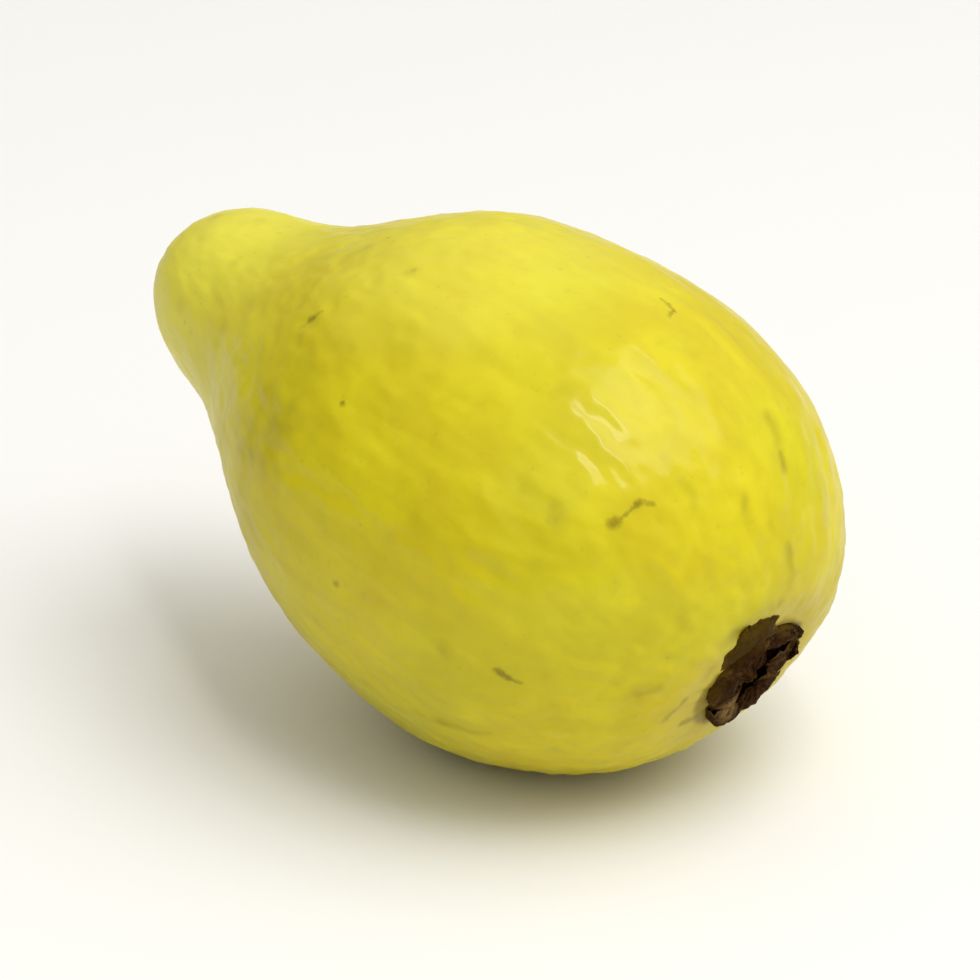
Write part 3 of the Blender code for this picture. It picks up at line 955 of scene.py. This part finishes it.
def crown_material():
    """Dark brown, brown and olive, lighter on the ridges and in one spot on top of a sepal."""
    material, tree, shader = new_material("dried_crown_look")
    coordinates = tree.nodes.new("ShaderNodeTexCoord").outputs["Object"]
    ridge = attribute(tree, "ridge")
    grain = noise_node(tree, coordinates, 900.0, 5.0, 0.65).outputs["Fac"]
    patches = noise_node(tree, coordinates, 330.0, 3.0).outputs["Fac"]
    colour = mix_colour(tree, ramp(tree, grain, 0.35, 0.68), SEPAL_DARK, SEPAL_BROWN)
    colour = mix_colour(tree, ramp(tree, patches, 0.52, 0.70, 0.0, 0.50), colour, SEPAL_PATCH)
    colour = mix_colour(tree, ramp(tree, ridge, 0.52, 0.85, 0.0, 0.55), colour, SEPAL_RIDGE)
    olive = math_node(tree, "MULTIPLY", attribute(tree, "green"), ramp(tree, grain, 0.25, 0.60, 0.30, 0.90))
    colour = mix_colour(tree, olive, colour, SEPAL_OLIVE)
    # One lighter spot on top of an inward sepal
    from_spot = vector_math(tree, "DISTANCE", coordinates, crown_points(4.6, math.radians(325.0), 1.8))
    light_spot = ramp(tree, from_spot, 0.0008, 0.0030, 1.0, 0.0)
    light_spot = math_node(tree, "MULTIPLY", light_spot, ramp(tree, grain, 0.26, 0.56))
    colour = mix_colour(tree, light_spot, colour, SEPAL_LIGHT_SPOT)
    tree.links.new(colour, shader.inputs["Base Color"])
    tree.links.new(ramp(tree, grain, 0.3, 0.7, 0.66, 0.88), shader.inputs["Roughness"])
    shader.inputs["IOR"].default_value = 1.40
    shader.inputs["Specular IOR Level"].default_value = 0.07
    fibres = noise_node(tree, coordinates, 2600.0, 3.0, 0.6).outputs["Fac"]
    normal = bump(tree, grain, 0.55, 0.00018)
    normal = bump(tree, fibres, 0.35, 0.00006, normal)
    tree.links.new(normal, shader.inputs["Normal"])
    return material


# Floor, light and camera

def make_floor():
    """Plain pale floor, a hair below the fruit."""
    corners = ((-1, -1), (1, -1), (1, 1), (-1, 1))
    points = [(x * FLOOR_HALF_WIDTH, y * FLOOR_HALF_WIDTH, FLOOR_HEIGHT) for x, y in corners]
    data = bpy.data.meshes.new("floor")
    data.from_pydata(points, [], [(0, 1, 2, 3)])
    data.update()
    material, tree, shader = new_material("pale_floor")
    coordinates = tree.nodes.new("ShaderNodeTexCoord").outputs["Object"]
    soft = noise_node(tree, coordinates, 6.0, 2.0).outputs["Fac"]
    tree.links.new(mix_colour(tree, soft, FLOOR_DARKER, FLOOR_LIGHTER), shader.inputs["Base Color"])
    shader.inputs["Roughness"].default_value = 0.9
    shader.inputs["Specular IOR Level"].default_value = 0.1
    data.materials.append(material)
    floor = bpy.data.objects.new("floor", data)
    bpy.context.scene.collection.objects.link(floor)


def direction_of(azimuth, elevation):
    """Unit vector from the object towards a place at this azimuth and elevation, in degrees."""
    a, e = math.radians(azimuth), math.radians(elevation)
    return np.array([math.sin(a) * math.cos(e), -math.cos(a) * math.cos(e), math.sin(e)])


def make_light(name, azimuth, elevation, distance, width, height, power):
    """Elliptical light that faces the middle of the fruit."""
    data = bpy.data.lights.new(name, "AREA")
    data.shape = "ELLIPSE"
    data.size = width
    data.size_y = height
    data.energy = power
    light = bpy.data.objects.new(name, data)
    towards = Vector(direction_of(azimuth, elevation))
    light.location = Vector((0.0, 0.0, 0.035)) + towards * distance
    light.rotation_euler = towards.to_track_quat("Z", "Y").to_euler()
    bpy.context.scene.collection.objects.link(light)


def make_world():
    """Even studio light from all round, brighter from above and from the side of the key light."""
    world = bpy.data.worlds.new("studio")
    world.use_nodes = True
    tree = world.node_tree
    background = tree.nodes["Background"]
    background.inputs["Color"].default_value = (*WORLD_COLOUR, 1.0)
    direction = tree.nodes.new("ShaderNodeTexCoord").outputs["Generated"]
    height = vector_math(tree, "DOT_PRODUCT", direction, (0.0, 0.0, 1.0))
    upper = ramp(tree, height, 0.05, 0.95, WORLD_LOW, WORLD_HIGH)
    towards_key = vector_math(tree, "DOT_PRODUCT", direction, WORLD_BRIGHT_SIDE)
    sided = math_node(tree, "MULTIPLY_ADD", towards_key, WORLD_SIDE_SHARE, 1.0)
    tree.links.new(math_node(tree, "MULTIPLY", upper, sided), background.inputs["Strength"])
    bpy.context.scene.world = world


def make_camera():
    """Camera at the photograph's viewing angle, with the fruit filling the picture."""
    back = direction_of(VIEW_AZIMUTH, VIEW_ELEVATION)
    azimuth = math.radians(VIEW_AZIMUTH)
    right = np.array([math.cos(azimuth), math.sin(azimuth), 0.0])
    up = np.cross(back, right)
    place = BELLY_CENTRE + VIEW_RIGHT_OF_BELLY * right + VIEW_ABOVE_BELLY * up + VIEW_DISTANCE * back
    data = bpy.data.cameras.new("camera")
    data.lens = VIEW_LENS
    data.sensor_width = 36.0
    data.clip_start = 0.01
    data.clip_end = 20.0
    camera = bpy.data.objects.new("camera", data)
    turned = Matrix((right, up, back)).transposed().to_4x4()
    camera.matrix_world = Matrix.Translation(Vector(place)) @ turned
    bpy.context.scene.collection.objects.link(camera)
    bpy.context.scene.camera = camera


skin = make_skin(skin_material())
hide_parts("fruit")
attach(skin, "root")

crown = make_crown(crown_material())
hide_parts("calyx")
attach(crown, "root")

make_floor()
make_world()
for light in LIGHTS:
    make_light(*light)
make_camera()
bpy.context.scene.view_settings.view_transform = "Standard"
bpy.context.scene.view_settings.look = "None"
